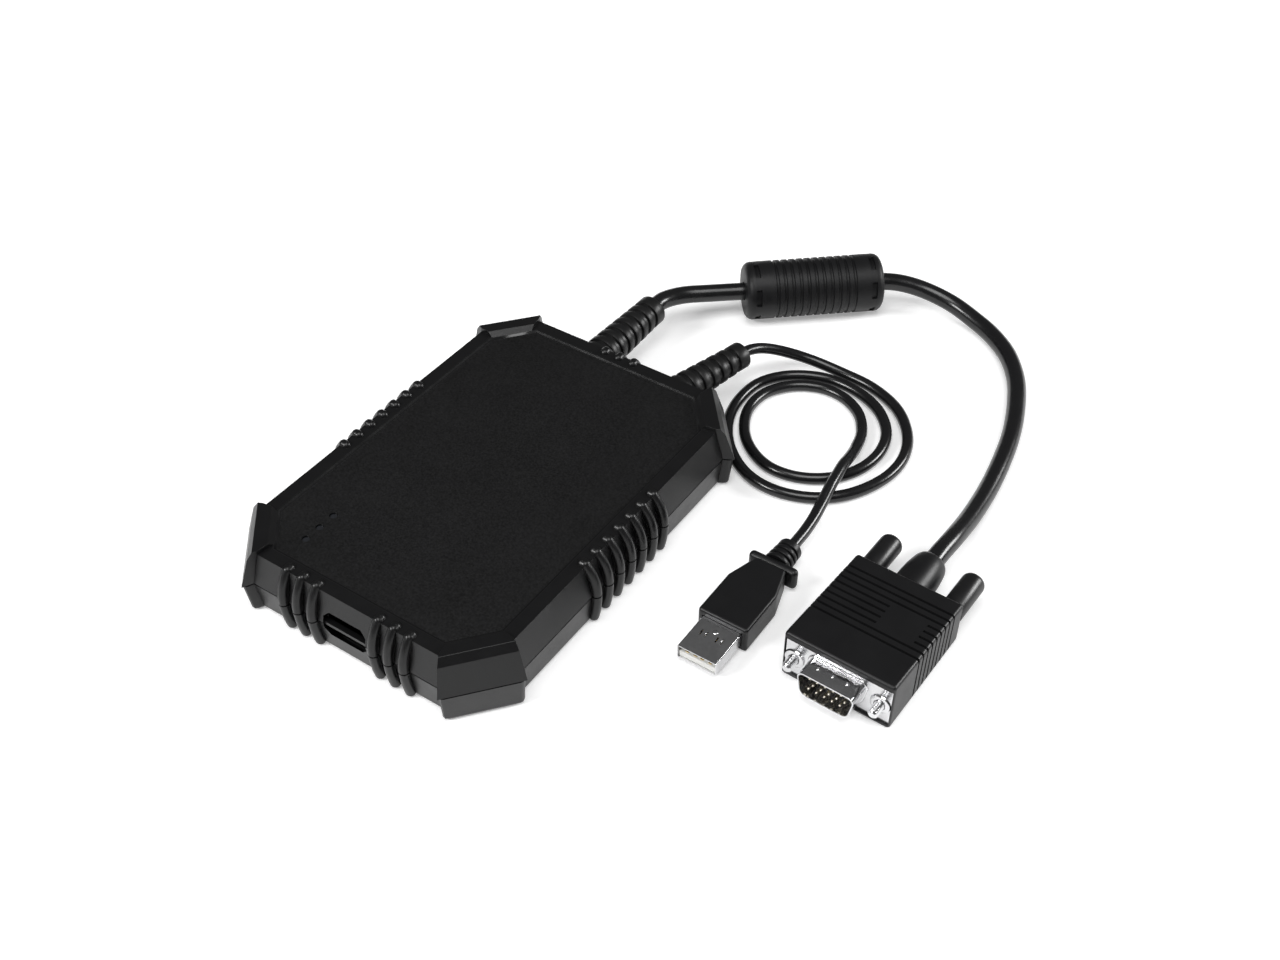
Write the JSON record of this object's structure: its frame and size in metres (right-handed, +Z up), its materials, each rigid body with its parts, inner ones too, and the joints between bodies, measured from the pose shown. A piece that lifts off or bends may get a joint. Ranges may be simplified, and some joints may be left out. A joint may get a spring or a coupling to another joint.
{
  "type": "crash cart adapter",
  "caption": "Rugged black box with a mini-USB socket, a captive VGA cord with ferrite bead and thumbscrew plug, and a looped USB cord, linking a laptop to a server.",
  "frame": {"origin": "on the floor under the middle of the box, measured without the cords and plugs", "axes": "+Z up, +Y towards the end where the cords leave, -Y towards the mini-USB socket, +X to the right seen from the socket end"},
  "size_m": [0.1775, 0.2328, 0.0214],
  "materials": {
    "upper_case": "fine sandy texture, near black",
    "lower_case": "satin near black",
    "screw_steel": "zinc plated",
    "board_green": "solder mask",
    "nickel_plate": "bright nickel",
    "black_insulator": "moulded",
    "white_insulator": "moulded",
    "gold_contact": "gold flash",
    "chip_black": "epoxy package",
    "crystal_can": "drawn can",
    "capacitor_can": "drawn can",
    "led_body": "clear epoxy",
    "smoked_light_pipe": "smoked clear",
    "header_ivory": "nylon",
    "inner_leads": "bundled wires",
    "relief_rubber": "soft satin",
    "cord_jacket": "glossy soft PVC",
    "bead_cover": "moulded jacket",
    "ferrite": "sintered ferrite",
    "plug_moulding": "satin PVC moulding",
    "thumbscrew_knob": "satin, steel thread"
  },
  "bodies": {
    "adapter": {"upper_shell": "upper_case", "lower_shell": "lower_case", "case_screws": "screw_steel", "main_board": "board_green", "board_screws": "screw_steel", "mini_usb_can": "nickel_plate", "mini_usb_tongue": "black_insulator", "mini_usb_contacts": "gold_contact", "capture_chip": "chip_black", "usb_bridge_chip": "chip_black", "memory_chip": "chip_black", "clock_crystal": "crystal_can", "power_capacitors": "capacitor_can", "indicator_leds": "led_body", "light_pipes": "smoked_light_pipe", "video_header": "header_ivory", "video_wire_housing": "header_ivory", "video_lead_bundle": "inner_leads", "usb_header": "header_ivory", "usb_wire_housing": "header_ivory", "usb_lead_bundle": "inner_leads", "vga_strain_relief": "relief_rubber", "usb_strain_relief": "relief_rubber", "vga_cord": "cord_jacket", "ferrite_cover": "bead_cover", "ferrite_core": "ferrite", "vga_hood": "plug_moulding", "vga_flange": "nickel_plate", "vga_insulator": "black_insulator", "vga_pins": "gold_contact", "usb_cord": "cord_jacket", "usb_plug_body": "plug_moulding", "usb_plug_skirt": "nickel_plate", "usb_plug_tongue": "white_insulator", "usb_plug_contacts": "gold_contact"},
    "left_screw": {"left_thumbscrew": "thumbscrew_knob"},
    "right_screw": {"right_thumbscrew": "thumbscrew_knob"}
  },
  "joints": [
    {"name": "left_screw_turn", "type": "hinge", "parent": "adapter", "child": "left_screw", "pos_m": [0.09891, -0.00396, 0.0076], "axis": [-0.0349, -0.9994, 0], "continuous": true},
    {"name": "right_screw_turn", "type": "hinge", "parent": "adapter", "child": "right_screw", "pos_m": [0.12389, -0.00484, 0.0076], "axis": [-0.0349, -0.9994, 0], "continuous": true}
  ]
}
